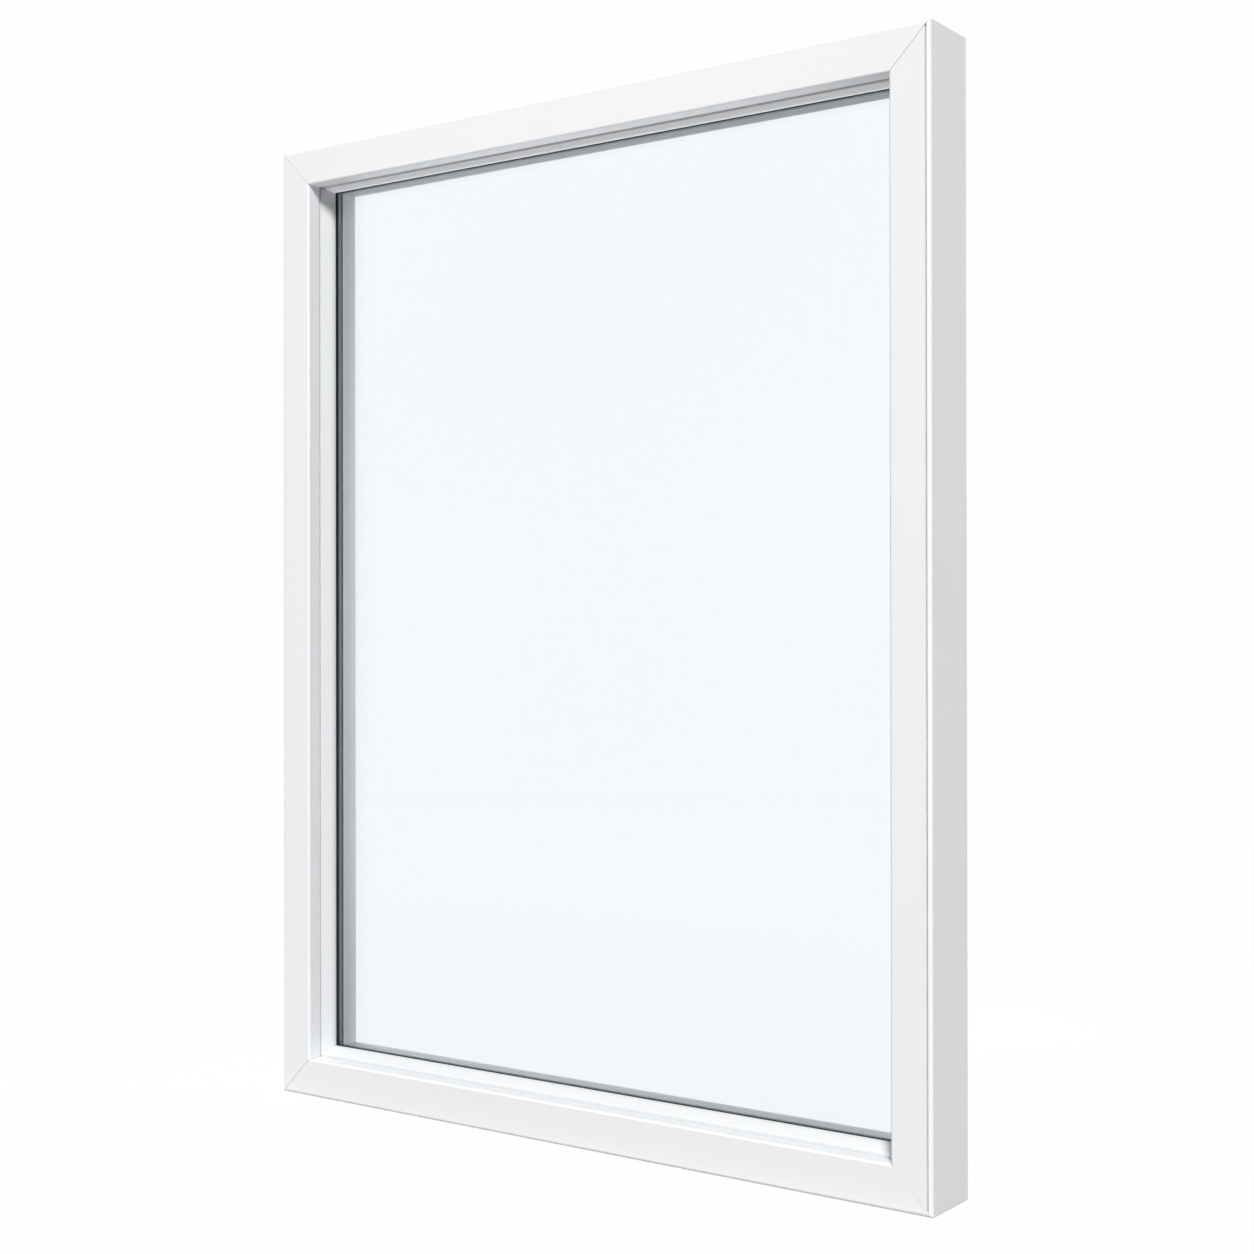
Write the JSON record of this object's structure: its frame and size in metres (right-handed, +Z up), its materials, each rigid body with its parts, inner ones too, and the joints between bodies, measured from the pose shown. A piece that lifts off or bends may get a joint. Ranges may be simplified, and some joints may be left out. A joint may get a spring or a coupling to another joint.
{
  "type": "fixed picture window",
  "caption": "White fixed picture window: mitred frame with rounded edges, recessed sloping glazing beads, black gaskets and a sealed double-glazed unit.",
  "frame": {"origin": "middle of the frame's outline on the floor, at the sill's flat base", "axes": "+Z up along the jambs, +X along the sill to the right seen from outside, +Y from the weather face to the room side"},
  "size_m": [0.98, 0.088, 1.28],
  "materials": {
    "frame_white": "satin white",
    "bead_white": "satin white",
    "gasket_black": "matte black",
    "spacer_grey": "matte dark grey",
    "clear_glass": "clear float glass",
    "block_plastic": "matte black"
  },
  "bodies": {
    "root": {"frame_head": "frame_white", "frame_sill": "frame_white", "frame_left_jamb": "frame_white", "frame_right_jamb": "frame_white", "glazing_bead_head": "bead_white", "glazing_bead_sill": "bead_white", "glazing_bead_left": "bead_white", "glazing_bead_right": "bead_white", "outer_gasket_head": "gasket_black", "outer_gasket_sill": "gasket_black", "outer_gasket_left": "gasket_black", "outer_gasket_right": "gasket_black", "inner_gasket_head": "gasket_black", "inner_gasket_sill": "gasket_black", "inner_gasket_left": "gasket_black", "inner_gasket_right": "gasket_black", "spacer_bar_head": "spacer_grey", "spacer_bar_sill": "spacer_grey", "spacer_bar_left": "spacer_grey", "spacer_bar_right": "spacer_grey", "outer_pane": "clear_glass", "inner_pane": "clear_glass", "setting_block_left": "block_plastic", "setting_block_right": "block_plastic"}
  },
  "joints": []
}
